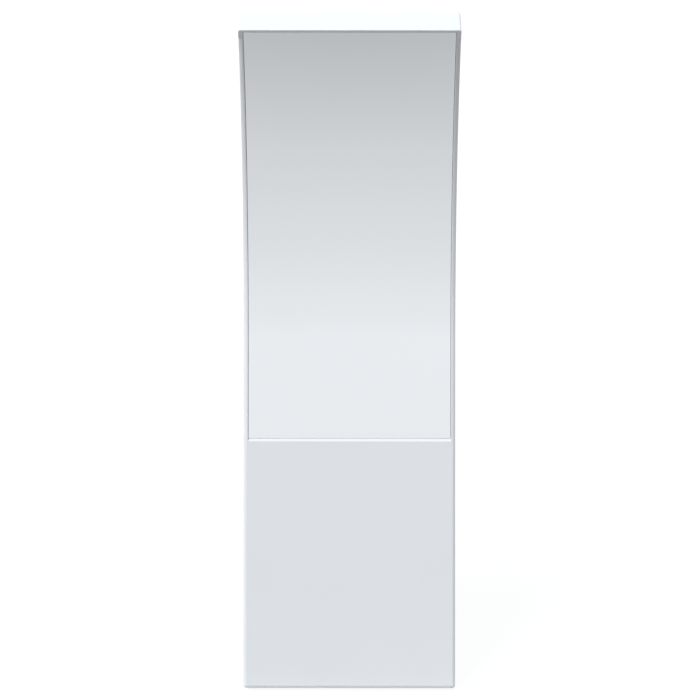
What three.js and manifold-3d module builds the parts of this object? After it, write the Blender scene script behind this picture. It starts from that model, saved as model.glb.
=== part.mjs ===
// Free-standing floor mirror: two side boards carry a capped, concave mirror above a plain leaning
// front panel, and a closed back. Millimetres, +Z up, the front faces -Y and +X is to the right.
// The origin is on the floor, under the middle of the part.

import * as THREE from 'three';
import { mergeVertices } from 'three/addons/utils/BufferGeometryUtils.js';
import Module from 'manifold-3d';

const wasm = await Module();
wasm.setup();

// Body
const width = 350; // over the side boards
const baseDepth = 370; // side boards, along the floor
const frontLean = 20; // degrees between the straight lower front and the vertical
const straightLength = 581; // straight stretch of the front, along its slope
const bendRadius = 700; // concave upper front
const topAngle = 22.5; // degrees from the level of the bend's centre up to the cap
const crownDepth = 52; // front to rear where both follow the bend
const boardThickness = 15; // side boards, rails and inner boards
const topThickness = 15;
const panelThickness = 15;
const panelLength = 412.9; // lower front panel, along its slope

// Edges
const edgeWidth = 4; // sloped outer edges of the side boards and the panel, seen from the front
const edgeDepth = 2.5; // how far they reach behind the front or the rear face
const ledgeWidth = 4.8; // sloped upper edge of the panel, below the mirror
const ledgeDepth = 2.8;
const panelCorner = 5.5; // lower corners of the panel, seen from the front
const capEase = 3.4; // upper edges of the top board, at its sides and its rear
const capCorner = 5; // rear corners of the top board, seen from above
const easeSteps = 4;

// Mirror and backing, counted inwards from the front face
const mirrorRecess = 2;
const mirrorThickness = 3;
const tapeThickness = 0.7;
const backingThickness = 3;
const mirrorSeam = 0.6; // open joint at both sides of the mirror and above it
const sideLip = 7.3; // side board seen beside the mirror
const topLip = 4.8; // top board seen above the mirror
const tapeWidth = 20;
const tapeSpread = 120; // outer tape strips from the middle
const tapeEndMargin = 12;

// Back panel, in grooves of the side boards
const backPanelThickness = 3;
const backPanelRecess = 8; // behind the rear edges of the side boards
const grooveDepth = 6;
const backPanelRise = 12; // above the undersides of the side boards

// Inner boards
const bottomBoardHeight = 30;
const middleBoardGap = 30; // between the middle board and the support rail above it
const supportRailDepth = 60;
const boardDowelMargin = 40; // dowels of a level board from its front and rear edges
const supportRailRise = 16; // above the mirror's lower end, along the slope
const upperRailDrop = 150; // below the side boards' ends, along the bend
const railDowelMargin = 7; // dowels of a rail from its edges

// Fasteners and fittings
const dowelRadius = 4;
const dowelInSide = 11;
const dowelInBoard = 19;
const dowelInTop = 11;
const topDowelMargin = 6; // dowels of the top board from the rabbet and from the back panel
const boltThreadRadius = 2.5;
const boltShaftRadius = 3;
const boltInSide = 10;
const camDistance = 24; // cam centre from the side board
const camRadius = 7.5;
const camDepth = 12.5;
const camSlotWidth = 2;
const camSlotLength = 10.5;
const camSlotDepth = 3;
const blockSize = 16; // corner blocks, across both seats
const blockLength = 24;
const blockScrewOffset = 5; // each screw from the middle of the block
const blockScrewBite = 10; // screw length in the board it enters
const blockBoardGap = 42; // middle of a block from the level board next to it
const screwRadius = 1.75;
const screwHeadRadius = 3.5;
const screwHeadHeight = 2;
const screwCrownRadius = 2.8; // flat of the domed head
const screwTip = 3;
const backScrewBite = 14;
const backScrewSpread = 110; // back panel screws from the middle
const glideRadius = 6;
const glideHeight = 2.5;
const glideInset = 25; // glides from the ends of the side boards' undersides
const glidePinRadius = 1.2;
const glidePinLength = 12;

const fit = 0.3; // clearance between a piece and what it is seated on or passes through
const overcut = 10; // cutters reach this far past the faces that they open
const bendSteps = 24;
const rearBendSteps = 16;
const roundSides = 12; // dowels and bores
const wideSides = 16; // cam housings and glides
const screwSides = 8;

const lean = THREE.MathUtils.degToRad(frontLean);
const topTurn = THREE.MathUtils.degToRad(topAngle);
const halfWidth = width / 2;
const innerFace = halfWidth - boardThickness;
const crossHalf = innerFace - fit; // half length of the boards between the side boards
const sides = [-1, 1];

const material = {
  paint: new THREE.MeshStandardMaterial({ color: 0xf4f5f6, roughness: 0.45, metalness: 0 }),
  mirror: new THREE.MeshStandardMaterial({ color: 0xe3e9ec, roughness: 0.03, metalness: 1 }),
  hardboard: new THREE.MeshStandardMaterial({ color: 0xe9e8e4, roughness: 0.7, metalness: 0 }),
  rawBoard: new THREE.MeshStandardMaterial({ color: 0xb89a72, roughness: 0.85, metalness: 0 }),
  foam: new THREE.MeshStandardMaterial({ color: 0x8d8f90, roughness: 0.9, metalness: 0 }),
  beech: new THREE.MeshStandardMaterial({ color: 0xd2ac77, roughness: 0.7, metalness: 0 }),
  steel: new THREE.MeshStandardMaterial({ color: 0xb9bcbf, roughness: 0.35, metalness: 1 }),
  plastic: new THREE.MeshStandardMaterial({ color: 0xdedfdf, roughness: 0.6, metalness: 0 }),
};

const body = new THREE.Group();

// ---- Side profile -------------------------------------------------------------------------------
// Profile points are (back, up): back from the foot of the front face, and up from the underside of
// the side boards. The front is a straight slope and then a bend about bendCentre. A turn is an
// angle about that centre, from its level upwards.

const bendCentre = new THREE.Vector2(
  Math.sin(lean) * straightLength - Math.cos(lean) * bendRadius,
  Math.cos(lean) * straightLength + Math.sin(lean) * bendRadius,
);
const rearRadius = bendRadius + crownDepth;
const frontTop = straightLength + bendRadius * (lean + topTurn);

function bendPoint(radius, turn) {
  return new THREE.Vector2(Math.cos(turn), Math.sin(turn)).multiplyScalar(radius).add(bendCentre);
}

function turnAt(along) {
  return Math.max(along - straightLength, 0) / bendRadius - lean;
}

function frontPoint(inset, along) {
  if (along > straightLength) return bendPoint(bendRadius + inset, turnAt(along));
  return new THREE.Vector2(
    Math.sin(lean) * along + Math.cos(lean) * inset,
    Math.cos(lean) * along - Math.sin(lean) * inset,
  );
}

function frontCurve(inset, from, to) {
  const step = (frontTop - straightLength) / bendSteps;
  const grid = Array.from({ length: bendSteps + 1 }, (_, i) => straightLength + i * step);
  const inside = grid.filter((along) => along > from + fit && along < to - fit);
  return [from, ...inside, to].map((along) => frontPoint(inset, along));
}

// The rear runs straight up from the back of the base until it meets the bend's rear as a tangent.
const toHeel = new THREE.Vector2(baseDepth, 0).sub(bendCentre);
const rearTurn = Math.atan2(toHeel.y, toHeel.x) + Math.acos(rearRadius / toHeel.length());

function rearPoint(inset, height) {
  const tangent = bendPoint(rearRadius - inset, rearTurn);
  const back = tangent.x + (tangent.y - height) * Math.tan(rearTurn);
  return new THREE.Vector2(back, height);
}

function rearCurve(inset, from, endTurn) {
  const step = (endTurn - rearTurn) / rearBendSteps;
  const turns = Array.from({ length: rearBendSteps + 1 }, (_, i) => rearTurn + i * step);
  return [rearPoint(inset, from), ...turns.map((turn) => bendPoint(rearRadius - inset, turn))];
}

// ---- Solids -------------------------------------------------------------------------------------

// A shape drawn in (back, up) is extruded along X; one drawn in (X, up) is extruded towards the front.
const profileToSide = new THREE.Matrix4().makeBasis(
  new THREE.Vector3(0, 1, 0),
  new THREE.Vector3(0, 0, 1),
  new THREE.Vector3(1, 0, 0),
);
const profileToFront = new THREE.Matrix4().makeBasis(
  new THREE.Vector3(1, 0, 0),
  new THREE.Vector3(0, 0, 1),
  new THREE.Vector3(0, -1, 0),
);

function prism(outline, fromX, toX) {
  const shape = new THREE.Shape(outline);
  const geometry = new THREE.ExtrudeGeometry(shape, { depth: toX - fromX, bevelEnabled: false });
  return geometry.applyMatrix4(profileToSide).translate(fromX, 0, 0);
}

function box(fromX, toX, fromY, toY, fromZ, toZ) {
  const geometry = new THREE.BoxGeometry(toX - fromX, toY - fromY, toZ - fromZ);
  return geometry.translate((fromX + toX) / 2, (fromY + toY) / 2, (fromZ + toZ) / 2);
}

// Round bar along Z from one height to another
function bar(radius, fromZ, toZ, segments = roundSides) {
  const geometry = new THREE.CylinderGeometry(radius, radius, toZ - fromZ, segments);
  return geometry.rotateX(Math.PI / 2).translate(0, 0, (fromZ + toZ) / 2);
}

// Turns what is drawn along +Z from the middle of the part to point at the side board on that side
function towardsSide(geometry, side) {
  return geometry.rotateY((side * Math.PI) / 2);
}

// Closed solid through anticlockwise outlines of equal point count, stacked along Z
function loft(levels) {
  const count = levels[0].outline.length;
  const last = count * (levels.length - 1);
  const positions = levels.flatMap(({ outline, at }) => outline.flatMap((p) => [p.x, p.y, at]));
  const indices = [];
  for (const [a, b, c] of THREE.ShapeUtils.triangulateShape(levels[0].outline, [])) {
    indices.push(c, b, a);
    indices.push(last + a, last + b, last + c);
  }
  for (let level = 1; level < levels.length; level += 1) {
    for (let i = 0; i < count; i += 1) {
      const low = (level - 1) * count;
      const next = (i + 1) % count;
      indices.push(low + i, low + next, low + count + next);
      indices.push(low + i, low + count + next, low + count + i);
    }
  }
  const geometry = new THREE.BufferGeometry();
  geometry.setAttribute('position', new THREE.Float32BufferAttribute(positions, 3));
  geometry.setIndex(indices);
  return geometry;
}

// Levels from a sharp end to an end whose outer edge is eased to a quarter round
function easedLevels(outlineAt, sharpEnd, easedEnd, radius) {
  const direction = Math.sign(easedEnd - sharpEnd);
  const levels = [{ outline: outlineAt(0), at: sharpEnd }];
  for (let i = 0; i <= easeSteps; i += 1) {
    const angle = (i / easeSteps) * (Math.PI / 2);
    const inset = radius * (1 - Math.cos(angle));
    const at = easedEnd - direction * radius * (1 - Math.sin(angle));
    levels.push({ outline: outlineAt(inset), at });
  }
  return direction > 0 ? levels : levels.reverse();
}

// Levels from a sharp end to an end whose outer edge is sloped
function slopedLevels(outlineAt, sharpEnd, slopedEnd, along, inset) {
  const direction = Math.sign(slopedEnd - sharpEnd);
  const levels = [
    { outline: outlineAt(0), at: sharpEnd },
    { outline: outlineAt(0), at: slopedEnd - direction * along },
    { outline: outlineAt(inset), at: slopedEnd },
  ];
  return direction > 0 ? levels : levels.reverse();
}

function cornerArc(centreX, centreY, radius, startAngle) {
  return Array.from({ length: easeSteps + 1 }, (_, i) => {
    const angle = startAngle + (i / easeSteps) * (Math.PI / 2);
    return new THREE.Vector2(centreX + radius * Math.cos(angle), centreY + radius * Math.sin(angle));
  });
}

function toSolid(geometry) {
  const bare = geometry.clone();
  bare.deleteAttribute('normal');
  bare.deleteAttribute('uv');
  const merged = mergeVertices(bare);
  return new wasm.Manifold(new wasm.Mesh({
    numProp: 3,
    vertProperties: merged.attributes.position.array,
    triVerts: Uint32Array.from(merged.index.array),
  }));
}

function cut(geometry, cutters) {
  const result = cutters.reduce((solid, cutter) => solid.subtract(toSolid(cutter)), toSolid(geometry));
  const mesh = result.getMesh();
  const output = new THREE.BufferGeometry();
  output.setAttribute('position', new THREE.BufferAttribute(mesh.vertProperties, 3));
  output.setIndex(new THREE.BufferAttribute(mesh.triVerts, 1));
  output.computeVertexNormals();
  return output;
}

function addPiece(parent, name, geometry, finish) {
  const piece = new THREE.Mesh(geometry, finish);
  piece.name = name;
  parent.add(piece);
}

// Repeated pieces, numbered from one
function addSet(parent, name, solids, finish) {
  solids.forEach((solid, index) => addPiece(parent, `${name}_${index + 1}`, solid, finish));
}

// ---- Places -------------------------------------------------------------------------------------
// In each place Y runs inwards and Z runs up along the face that it belongs to.

function place(back, up, turn) {
  const group = new THREE.Group();
  group.position.set(0, back, up);
  group.rotation.x = turn;
  group.updateMatrix();
  body.add(group);
  return group;
}

function placeOnFront(along) {
  const point = frontPoint(0, along);
  return place(point.x, point.y, turnAt(along));
}

function moved(geometry, group) {
  return geometry.clone().applyMatrix4(group.matrix);
}

function movedInto(geometry, group) {
  return geometry.clone().applyMatrix4(group.matrix.clone().invert());
}

// ---- Levels through the front -------------------------------------------------------------------

const mirrorBack = mirrorRecess + mirrorThickness;
const tapeFront = mirrorBack + fit;
const tapeBack = tapeFront + tapeThickness;
const backingFront = tapeBack + fit;
const backingBack = backingFront + backingThickness;
const rabbetDepth = backingBack + fit;
const panelBack = panelThickness + fit;
const panelStart = panelThickness * Math.tan(lean) + fit; // its lower rear edge just clears the base
const panelEnd = panelStart + panelLength;
const mirrorStart = panelEnd + fit;
const mirrorEnd = frontTop + fit + topThickness - topLip - mirrorSeam;
const mirrorHalf = halfWidth - sideLip - mirrorSeam;
const backPanelFront = backPanelRecess + backPanelThickness; // inset from the rear

// Cutters that several pieces share, in the body's own frame
const sideBores = [];
const dowels = [];

// Sheet that follows the front between two insets
function frontSheet(outer, inner, from, to, fromX, toX) {
  const outline = [...frontCurve(inner, from, to), ...frontCurve(outer, from, to).reverse()];
  return prism(outline.reverse(), fromX, toX);
}

// Sheet that follows the rear between two insets
function rearSheet(outer, inner, from, endTurn, fromX, toX) {
  const outline = [...rearCurve(outer, from, endTurn), ...rearCurve(inner, from, endTurn).reverse()];
  return prism(outline, fromX, toX);
}

// ---- Boards between the side boards -------------------------------------------------------------

const camBolts = [];
const camHousings = [];
const camSlot = box(
  -camSlotLength / 2,
  camSlotLength / 2,
  -camSlotWidth / 2,
  camSlotWidth / 2,
  -overcut,
  camSlotDepth,
);

function camBolt() {
  const tip = innerFace - camDistance + camRadius + fit;
  const profile = [
    [0, tip],
    [boltShaftRadius, tip],
    [boltShaftRadius, innerFace - fit],
    [boltThreadRadius, innerFace - fit],
    [boltThreadRadius, innerFace + boltInSide],
    [0, innerFace + boltInSide],
  ].map(([radius, at]) => new THREE.Vector2(radius, at));
  return new THREE.LatheGeometry(profile, roundSides).rotateX(Math.PI / 2);
}

// Dowels and cams sit in each end at these depths; bores run through the board and the side board
function crossBoard({ name, group, front, rear, dowelDepths, camDepths = [], bores = [] }) {
  const middle = boardThickness / 2;
  const cutters = [...bores];
  for (const side of sides) {
    for (const depth of dowelDepths) {
      const reach = [innerFace - dowelInBoard, innerFace + dowelInSide];
      const dowel = towardsSide(bar(dowelRadius, ...reach), side).translate(0, depth, middle);
      const bore = bar(dowelRadius + fit, reach[0] - fit, reach[1] + fit);
      towardsSide(bore, side).translate(0, depth, middle);
      dowels.push({ board: name, solid: moved(dowel, group) });
      sideBores.push({ side, solid: moved(bore, group) });
      cutters.push(bore);
    }
    for (const depth of camDepths) {
      const centre = side * (innerFace - camDistance);
      const boreReach = [innerFace - camDistance, innerFace + boltInSide + fit];
      const bore = towardsSide(bar(boltShaftRadius + fit, ...boreReach), side);
      bore.translate(0, depth, middle);
      const well = bar(camRadius + fit, -overcut, camDepth + fit, wideSides);
      well.translate(centre, depth, 0);
      const slotted = cut(bar(camRadius, 0, camDepth, wideSides), [camSlot]).translate(centre, depth, 0);
      camBolts.push(moved(towardsSide(camBolt(), side).translate(0, depth, middle), group));
      camHousings.push(moved(slotted, group));
      sideBores.push({ side, solid: moved(bore, group) });
      cutters.push(bore, well);
    }
  }
  const blank = box(-crossHalf, crossHalf, front, rear, 0, boardThickness);
  addPiece(group, name, cut(blank, cutters), material.paint);
}

// Screw along Z with its head's seat at zero, pointing up
function screw(length) {
  const profile = [
    [0, -screwHeadHeight],
    [screwCrownRadius, -screwHeadHeight],
    [screwHeadRadius, 0],
    [screwRadius, 0],
    [screwRadius, length - screwTip],
    [0, length],
  ].map(([radius, at]) => new THREE.Vector2(radius, at));
  return new THREE.LatheGeometry(profile, screwSides).rotateX(Math.PI / 2);
}

const screwBore = (length) => bar(screwRadius + fit, 0, length + fit);

const railFront = rabbetDepth + fit;
const supportRailRear = railFront + supportRailDepth;
const supportRailAlong = mirrorStart + supportRailRise;
const supportRailLowest = frontPoint(supportRailRear, supportRailAlong).y;
const middleBoardHeight = supportRailLowest - middleBoardGap - boardThickness;

const bottomBoard = place(0, bottomBoardHeight, 0);
const middleBoard = place(0, middleBoardHeight, 0);
const supportRail = placeOnFront(supportRailAlong);
const upperRail = placeOnFront(frontTop - upperRailDrop);

// A level board reaches from behind the panel to just before the back panel
function levelBoardDepth(height) {
  const top = height + boardThickness;
  const front = top * Math.tan(lean) + (panelBack + fit) / Math.cos(lean);
  return { front, rear: rearPoint(backPanelFront + fit, top).x };
}

// Back panel screws: seats on the rear face of the back panel, level with the boards' middles
function backScrewPlace(board) {
  const point = rearPoint(backPanelRecess - fit, board.position.z + boardThickness / 2);
  return place(point.x, point.y, rearTurn);
}

const backScrews = [];
const backPanelBores = [];
const screwLengthAtBack = backPanelThickness + fit + backScrewBite;

function addBackScrews(board) {
  const seat = backScrewPlace(board);
  return [-backScrewSpread, backScrewSpread].map((x) => {
    const turned = (geometry) => moved(geometry.rotateX(Math.PI / 2).translate(x, 0, 0), seat);
    const bore = turned(screwBore(screwLengthAtBack));
    backScrews.push(turned(screw(screwLengthAtBack)));
    backPanelBores.push(bore);
    return movedInto(bore, board);
  });
}

function addLevelBoard(name, group, hasCams) {
  const { front, rear } = levelBoardDepth(group.position.z);
  crossBoard({
    name,
    group,
    front,
    rear,
    dowelDepths: [front + boardDowelMargin, rear - boardDowelMargin],
    camDepths: hasCams ? [(front + rear) / 2] : [],
    bores: addBackScrews(group),
  });
}

addLevelBoard('bottom_board', bottomBoard, true);
addLevelBoard('middle_board', middleBoard, false);

crossBoard({
  name: 'mirror_support_rail',
  group: supportRail,
  front: railFront,
  rear: supportRailRear,
  dowelDepths: [railFront + railDowelMargin, supportRailRear - railDowelMargin],
});

const upperRailRear = crownDepth - backPanelFront - fit;
crossBoard({
  name: 'upper_rail',
  group: upperRail,
  front: railFront,
  rear: upperRailRear,
  dowelDepths: [railFront + railDowelMargin, upperRailRear - railDowelMargin],
});

// ---- Corner blocks ------------------------------------------------------------------------------
// A block's place has the seat in its XY plane, with Z pointing into the board that it holds.

const blocks = [];
const blockScrews = [];
const panelBores = [];

function addCornerBlocks(seat) {
  for (const side of sides) {
    const across = side * (crossHalf - blockSize / 2);
    const inner = side * (crossHalf - blockSize);
    const screwLength = blockSize + fit + blockScrewBite;
    const onSeat = (geometry) => geometry.translate(across, -blockScrewOffset, -blockSize - fit);
    const onSide = (geometry) => towardsSide(geometry, side)
      .translate(inner, blockScrewOffset, -blockSize / 2 - fit);
    const seatBore = onSeat(screwBore(screwLength));
    const sideBore = onSide(screwBore(screwLength));
    const blank = box(
      across - blockSize / 2,
      across + blockSize / 2,
      -blockLength / 2,
      blockLength / 2,
      -blockSize - fit,
      -fit,
    );
    blocks.push(moved(cut(blank, [seatBore, sideBore]), seat));
    blockScrews.push(moved(onSeat(screw(screwLength).translate(0, 0, -fit)), seat));
    blockScrews.push(moved(onSide(screw(screwLength)).translate(-side * fit, 0, 0), seat));
    panelBores.push(moved(seatBore, seat));
    sideBores.push({ side, solid: moved(sideBore, seat) });
  }
}

// The seat's local Z points at the panel, which is towards the front
function panelBlockSeat(height) {
  const along = (height + Math.sin(lean) * panelThickness) / Math.cos(lean);
  const point = frontPoint(panelThickness, along);
  return place(point.x, point.y, turnAt(along) + Math.PI / 2);
}

addCornerBlocks(panelBlockSeat(bottomBoardHeight + boardThickness + blockBoardGap));
addCornerBlocks(panelBlockSeat(middleBoardHeight - blockBoardGap));

// ---- Top board ----------------------------------------------------------------------------------

const cap = placeOnFront(frontTop);
const topDowelDepths = [rabbetDepth + topDowelMargin, crownDepth - backPanelFront - topDowelMargin];
const topDowels = [];
const topBores = [];
const topDowelCentre = halfWidth - boardThickness / 2;

for (const side of sides) {
  for (const depth of topDowelDepths) {
    const shape = (radius, gap) => bar(radius, -dowelInBoard - gap, fit + dowelInTop + gap)
      .translate(side * topDowelCentre, depth, 0);
    const bore = moved(shape(dowelRadius + fit, fit), cap);
    topDowels.push(moved(shape(dowelRadius, 0), cap));
    topBores.push(bore);
    sideBores.push({ side, solid: bore });
  }
}

function capOutline(inset) {
  const radius = capCorner - inset;
  const right = halfWidth - capCorner;
  const rear = crownDepth - capCorner;
  return [
    ...cornerArc(right, rear, radius, 0),
    ...cornerArc(-right, rear, radius, Math.PI / 2),
    new THREE.Vector2(-halfWidth + inset, 0),
    new THREE.Vector2(halfWidth - inset, 0),
  ];
}

const mirrorPocket = box(
  -halfWidth + sideLip,
  halfWidth - sideLip,
  -overcut,
  rabbetDepth,
  -overcut,
  fit + topThickness - topLip,
);
const capBlank = loft(easedLevels(capOutline, fit, fit + topThickness, capEase));
const capCutters = [mirrorPocket, ...topBores.map((bore) => movedInto(bore, cap))];
addPiece(cap, 'top_board', cut(capBlank, capCutters), material.paint);

// ---- Lower front panel --------------------------------------------------------------------------

const panel = placeOnFront(panelStart);

function panelOutline(inset) {
  const radius = panelCorner - inset;
  const right = halfWidth - panelCorner;
  return [
    new THREE.Vector2(halfWidth - inset, panelLength),
    new THREE.Vector2(-halfWidth + inset, panelLength),
    ...cornerArc(-right, panelCorner, radius, Math.PI),
    ...cornerArc(right, panelCorner, radius, Math.PI * 1.5),
  ];
}

// Slopes the panel's upper front edge between the two lips of the side boards
function ledgeCutter() {
  const outline = [
    new THREE.Vector2(ledgeDepth * 2, panelLength + ledgeWidth),
    new THREE.Vector2(-ledgeDepth, panelLength - ledgeWidth * 2),
    new THREE.Vector2(-ledgeDepth, panelLength + ledgeWidth),
  ];
  return prism(outline, -halfWidth + sideLip, halfWidth - sideLip);
}

const panelBlank = loft(slopedLevels(panelOutline, -panelThickness, 0, edgeDepth, edgeWidth));
panelBlank.applyMatrix4(profileToFront);
const panelCutters = [ledgeCutter(), ...panelBores.map((bore) => movedInto(bore, panel))];
addPiece(panel, 'lower_front_panel', cut(panelBlank, panelCutters), material.paint);

// ---- Mirror, tape and backing -------------------------------------------------------------------

addPiece(
  body,
  'mirror',
  frontSheet(mirrorRecess, mirrorBack, mirrorStart, mirrorEnd, -mirrorHalf, mirrorHalf),
  material.mirror,
);
addPiece(
  body,
  'mirror_backing_board',
  frontSheet(backingFront, backingBack, mirrorStart, mirrorEnd, -mirrorHalf, mirrorHalf),
  material.rawBoard,
);
const tapeStrips = [-tapeSpread, 0, tapeSpread].map((x) => frontSheet(
  tapeFront,
  tapeBack,
  mirrorStart + tapeEndMargin,
  mirrorEnd - tapeEndMargin,
  x - tapeWidth / 2,
  x + tapeWidth / 2,
));
addSet(body, 'mirror_tape_strip', tapeStrips, material.foam);

// ---- Back panel ---------------------------------------------------------------------------------

const backPanelEnd = topTurn - fit / rearRadius;
const backPanelHalf = innerFace + grooveDepth;
const backPanelSheet = rearSheet(
  backPanelRecess,
  backPanelFront,
  backPanelRise,
  backPanelEnd,
  -backPanelHalf,
  backPanelHalf,
);
addPiece(body, 'back_panel', cut(backPanelSheet, backPanelBores), material.hardboard);

// ---- Foot glides --------------------------------------------------------------------------------

const glideCentre = innerFace + glideRadius + fit;
const soleFront = panelBack / Math.cos(lean);
const glidePlaces = [
  ['front', soleFront + glideInset],
  ['rear', baseDepth - glideInset],
];

for (const [end, back] of glidePlaces) {
  for (const side of sides) {
    const profile = [
      [0, -glideHeight],
      [glideRadius - fit, -glideHeight],
      [glideRadius, -glideHeight / 2],
      [glideRadius, 0],
      [glidePinRadius, 0],
      [glidePinRadius, glidePinLength - glidePinRadius],
      [0, glidePinLength],
    ].map(([radius, at]) => new THREE.Vector2(radius, at));
    const glide = new THREE.LatheGeometry(profile, wideSides).rotateX(Math.PI / 2);
    const group = place(back, 0, 0);
    group.position.x = side * glideCentre;
    group.updateMatrix();
    const bore = bar(glidePinRadius + fit, -overcut, glidePinLength + fit);
    sideBores.push({ side, solid: moved(bore, group) });
    addPiece(group, `foot_glide_${end}_${side > 0 ? 'right' : 'left'}`, glide, material.plastic);
  }
}

// ---- Side boards --------------------------------------------------------------------------------

function sideOutline(inset) {
  const foot = (inset * Math.sin(lean)) / Math.cos(lean);
  return [...rearCurve(inset, 0, topTurn), ...frontCurve(inset, foot, frontTop).reverse()];
}

for (const side of sides) {
  const outerFace = side * halfWidth;
  const lip = side * (halfWidth - sideLip);
  const inside = side * (innerFace - overcut);
  const grooveFloor = side * (backPanelHalf + fit);
  const between = (a, b) => [Math.min(a, b), Math.max(a, b)];
  const levels = slopedLevels(sideOutline, side * innerFace, outerFace, edgeWidth, edgeDepth);
  const panelStep = frontSheet(
    -overcut,
    panelBack,
    -overcut,
    panelEnd + fit,
    ...between(inside, side * (halfWidth + overcut)),
  );
  const rabbet = frontSheet(
    -overcut,
    rabbetDepth,
    panelEnd - overcut,
    frontTop + overcut,
    ...between(inside, lip),
  );
  const groove = rearSheet(
    backPanelRecess - fit,
    backPanelFront + fit,
    -overcut,
    topTurn + overcut / rearRadius,
    ...between(inside, grooveFloor),
  );
  const bores = sideBores.filter((bore) => bore.side === side).map((bore) => bore.solid);
  const blank = loft(levels).applyMatrix4(profileToSide);
  const name = `side_board_${side > 0 ? 'right' : 'left'}`;
  addPiece(body, name, cut(blank, [panelStep, rabbet, groove, ...bores]), material.paint);
}

// ---- Sets of fasteners and fittings -------------------------------------------------------------

const dowelsOf = (wanted) => dowels.filter(({ board }) => board === wanted).map(({ solid }) => solid);
addSet(body, 'top_board_dowel', topDowels, material.beech);
addSet(body, 'bottom_board_dowel', dowelsOf('bottom_board'), material.beech);
addSet(body, 'middle_board_dowel', dowelsOf('middle_board'), material.beech);
addSet(body, 'support_rail_dowel', dowelsOf('mirror_support_rail'), material.beech);
addSet(body, 'upper_rail_dowel', dowelsOf('upper_rail'), material.beech);
addSet(body, 'cam_bolt', camBolts, material.steel);
addSet(body, 'cam_housing', camHousings, material.steel);
addSet(body, 'panel_corner_block', blocks, material.plastic);
addSet(body, 'corner_block_screw', blockScrews, material.steel);
addSet(body, 'back_panel_screw', backScrews, material.steel);

// ---- Assembly -----------------------------------------------------------------------------------

body.updateMatrixWorld(true);
const bounds = new THREE.Box3().setFromObject(body, true);
const middle = bounds.getCenter(new THREE.Vector3());
body.position.set(-middle.x, -middle.y, -bounds.min.z);

const floorMirror = new THREE.Group();
floorMirror.add(body);

export default floorMirror;
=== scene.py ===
import math
import bmesh
import bpy
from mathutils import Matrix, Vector


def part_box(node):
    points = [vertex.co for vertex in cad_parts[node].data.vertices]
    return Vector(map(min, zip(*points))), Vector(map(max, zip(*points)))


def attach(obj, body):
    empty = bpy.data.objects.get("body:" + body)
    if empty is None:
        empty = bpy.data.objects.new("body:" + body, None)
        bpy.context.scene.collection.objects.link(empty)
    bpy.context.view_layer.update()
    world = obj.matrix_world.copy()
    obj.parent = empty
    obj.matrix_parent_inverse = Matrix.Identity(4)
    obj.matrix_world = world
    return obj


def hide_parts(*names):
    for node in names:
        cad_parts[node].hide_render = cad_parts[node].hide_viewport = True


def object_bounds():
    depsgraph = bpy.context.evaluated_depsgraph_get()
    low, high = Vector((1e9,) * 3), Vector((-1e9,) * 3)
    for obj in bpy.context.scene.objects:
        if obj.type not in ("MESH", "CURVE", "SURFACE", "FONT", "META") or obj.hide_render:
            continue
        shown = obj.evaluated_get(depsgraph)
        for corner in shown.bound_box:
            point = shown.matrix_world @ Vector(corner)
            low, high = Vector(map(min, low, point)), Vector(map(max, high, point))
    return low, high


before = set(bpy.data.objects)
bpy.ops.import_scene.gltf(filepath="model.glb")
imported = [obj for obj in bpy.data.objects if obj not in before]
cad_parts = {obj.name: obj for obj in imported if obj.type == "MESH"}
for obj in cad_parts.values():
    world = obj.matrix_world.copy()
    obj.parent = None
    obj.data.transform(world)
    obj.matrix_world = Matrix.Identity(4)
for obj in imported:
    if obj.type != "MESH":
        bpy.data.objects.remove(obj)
cadLow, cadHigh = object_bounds()
bpy.context.scene.view_settings.view_transform = "Standard"
print("frame loaded:", len(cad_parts), "nodes")

# profile of the body, in metres and degrees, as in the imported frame
body = {
    "baseDepth": 0.370,       # side boards along the floor
    "frontLean": 20,          # straight lower front, from the vertical
    "straightLength": 0.581,  # straight stretch of the front, along its slope
    "bendRadius": 0.700,
    "topAngle": 22.5,         # from the level of the bend's centre up to the cap
    "crownDepth": 0.052,      # front to rear where both follow the bend
    "fit": 0.0003,            # clearance between neighbours
}

leftLow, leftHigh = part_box("side_board_left")
halfWidth = -leftLow.x
innerFace = -leftHigh.x
foot = Vector((0, leftHigh.y - body["baseDepth"], leftLow.z))  # foot of the front face
lean = math.radians(body["frontLean"])
topTurn = math.radians(body["topAngle"])
bendCentre = foot + Vector((
    0,
    math.sin(lean) * body["straightLength"] - math.cos(lean) * body["bendRadius"],
    math.cos(lean) * body["straightLength"] + math.sin(lean) * body["bendRadius"],
))
rearRadius = body["bendRadius"] + body["crownDepth"]
frontTop = body["straightLength"] + body["bendRadius"] * (lean + topTurn)


def bendPoint(radius, turn, x=0):
    return Vector((x, bendCentre.y + radius * math.cos(turn), bendCentre.z + radius * math.sin(turn)))


def turnAt(along):  # turn about the bend's centre, at a length along the front
    return max(along - body["straightLength"], 0) / body["bendRadius"] - lean


def frontPoint(inset, along, x=0):  # inset is how far behind the front face
    if along > body["straightLength"]:
        return bendPoint(body["bendRadius"] + inset, turnAt(along), x)
    back = math.sin(lean) * along + math.cos(lean) * inset
    up = math.cos(lean) * along - math.sin(lean) * inset
    return Vector((x, foot.y + back, foot.z + up))


# the rear runs straight up from the heel until it meets the bend's rear as a tangent
heel = foot + Vector((0, body["baseDepth"], 0)) - bendCentre
rearTurn = math.atan2(heel.z, heel.y) + math.acos(rearRadius / math.hypot(heel.y, heel.z))


def rearPoint(inset, height, x=0):
    tangent = bendPoint(rearRadius - inset, rearTurn)
    back = tangent.y + (tangent.z - height) * math.tan(rearTurn)
    return Vector((x, back, height))


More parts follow.
